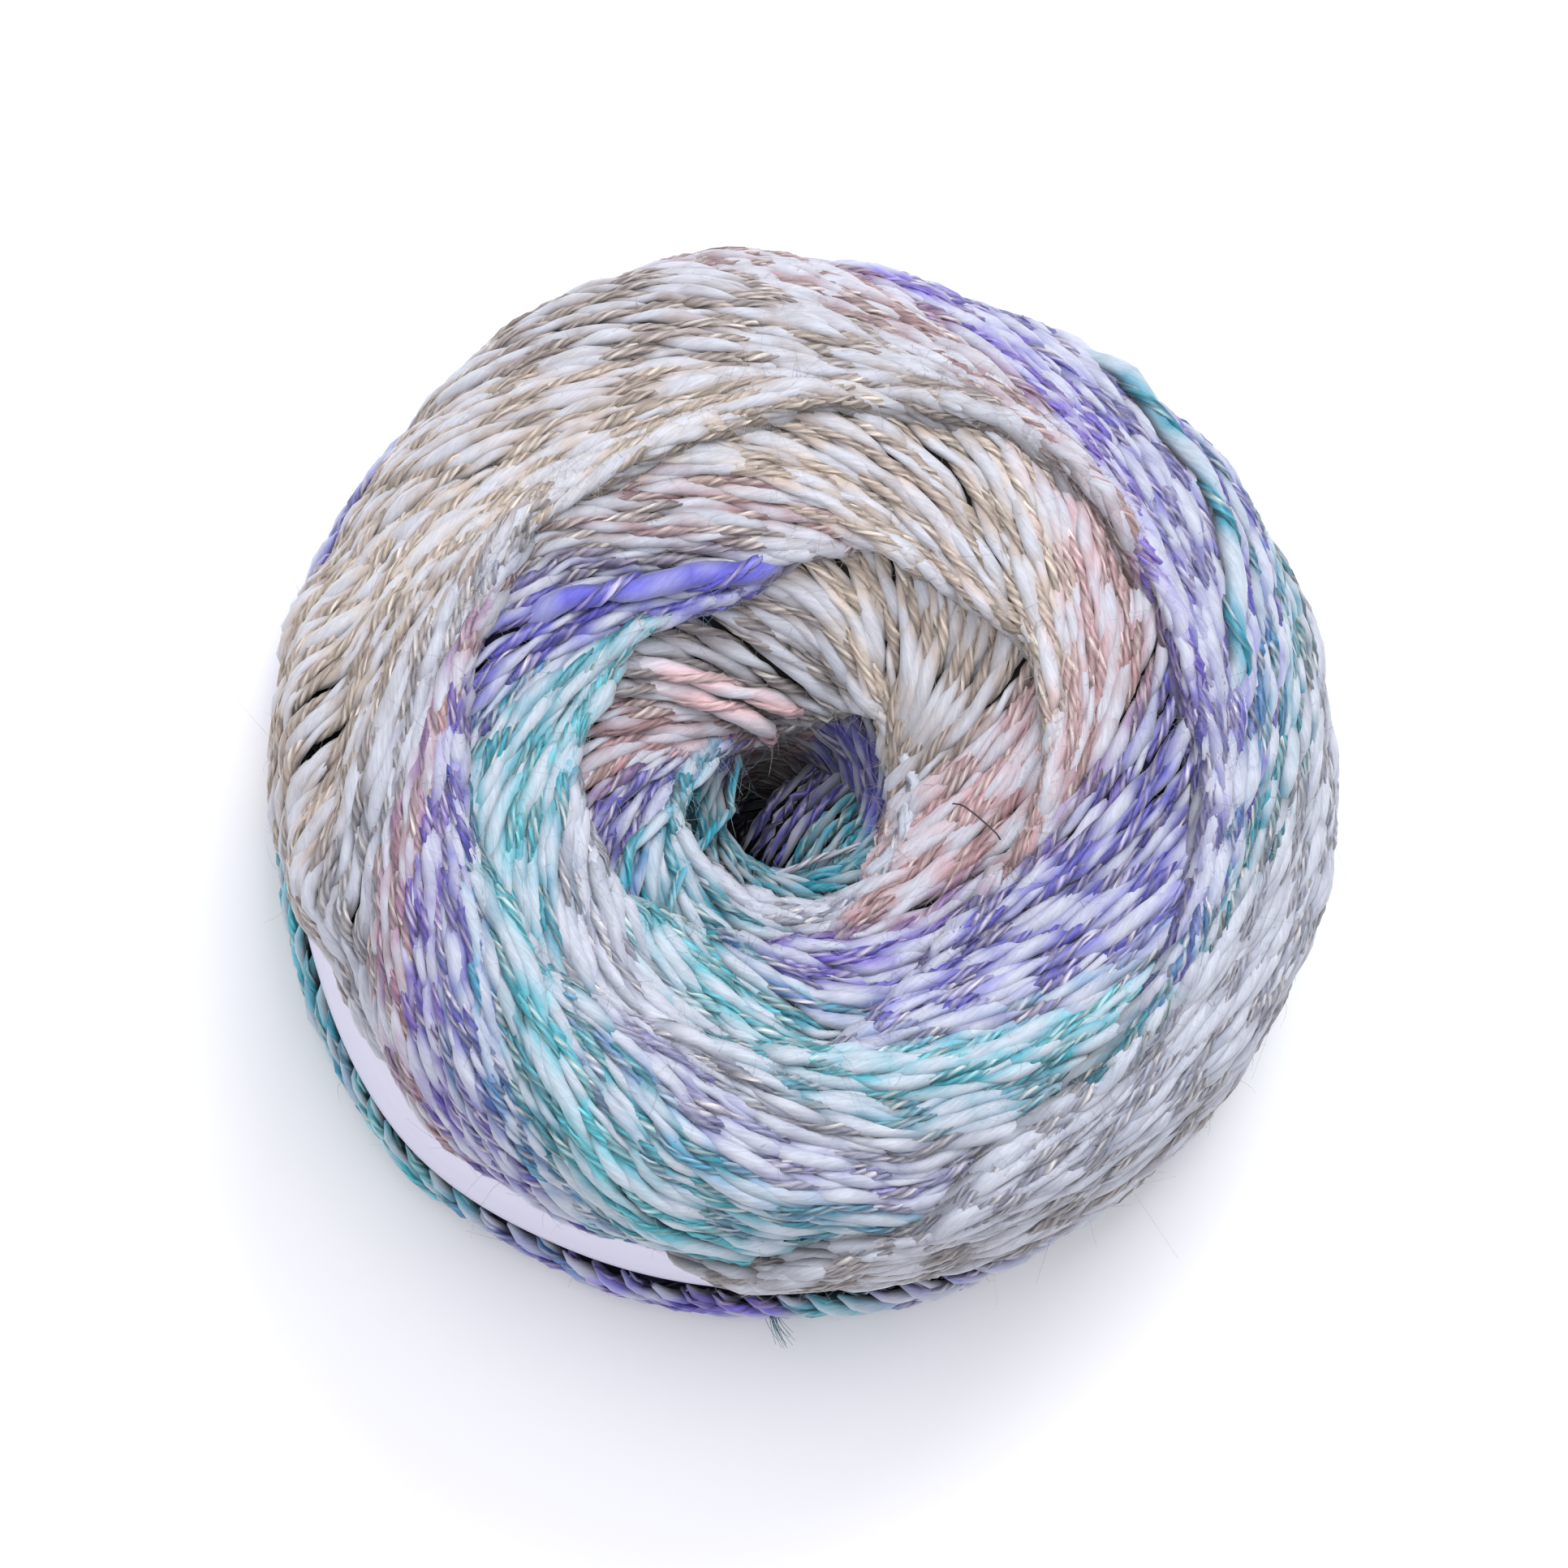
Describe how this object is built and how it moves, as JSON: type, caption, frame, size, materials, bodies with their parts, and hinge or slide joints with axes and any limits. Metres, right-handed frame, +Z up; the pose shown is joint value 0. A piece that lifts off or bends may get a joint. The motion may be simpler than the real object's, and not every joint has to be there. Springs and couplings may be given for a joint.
{
  "type": "yarn cake with paper band",
  "caption": "Low round cake of thick-and-thin dyed yarn, wound in overlapping spiral layers round an open middle, with a plain paper band round its waist.",
  "frame": {"origin": "middle of the flat underside, under the middle of the bounding box", "axes": "+Z up along the hole, +X to the right and +Y to the top of the picture, seen from above"},
  "size_m": [0.1282, 0.1268, 0.0801],
  "materials": {
    "yarn": "soft wool blend, two plies, thick and thin, dyed in teal, purple, rose, beige and white",
    "paper": "matt uncoated paper, unprinted"
  },
  "bodies": {
    "root": {"yarn_cake": "yarn", "paper_band": "paper"}
  },
  "joints": []
}
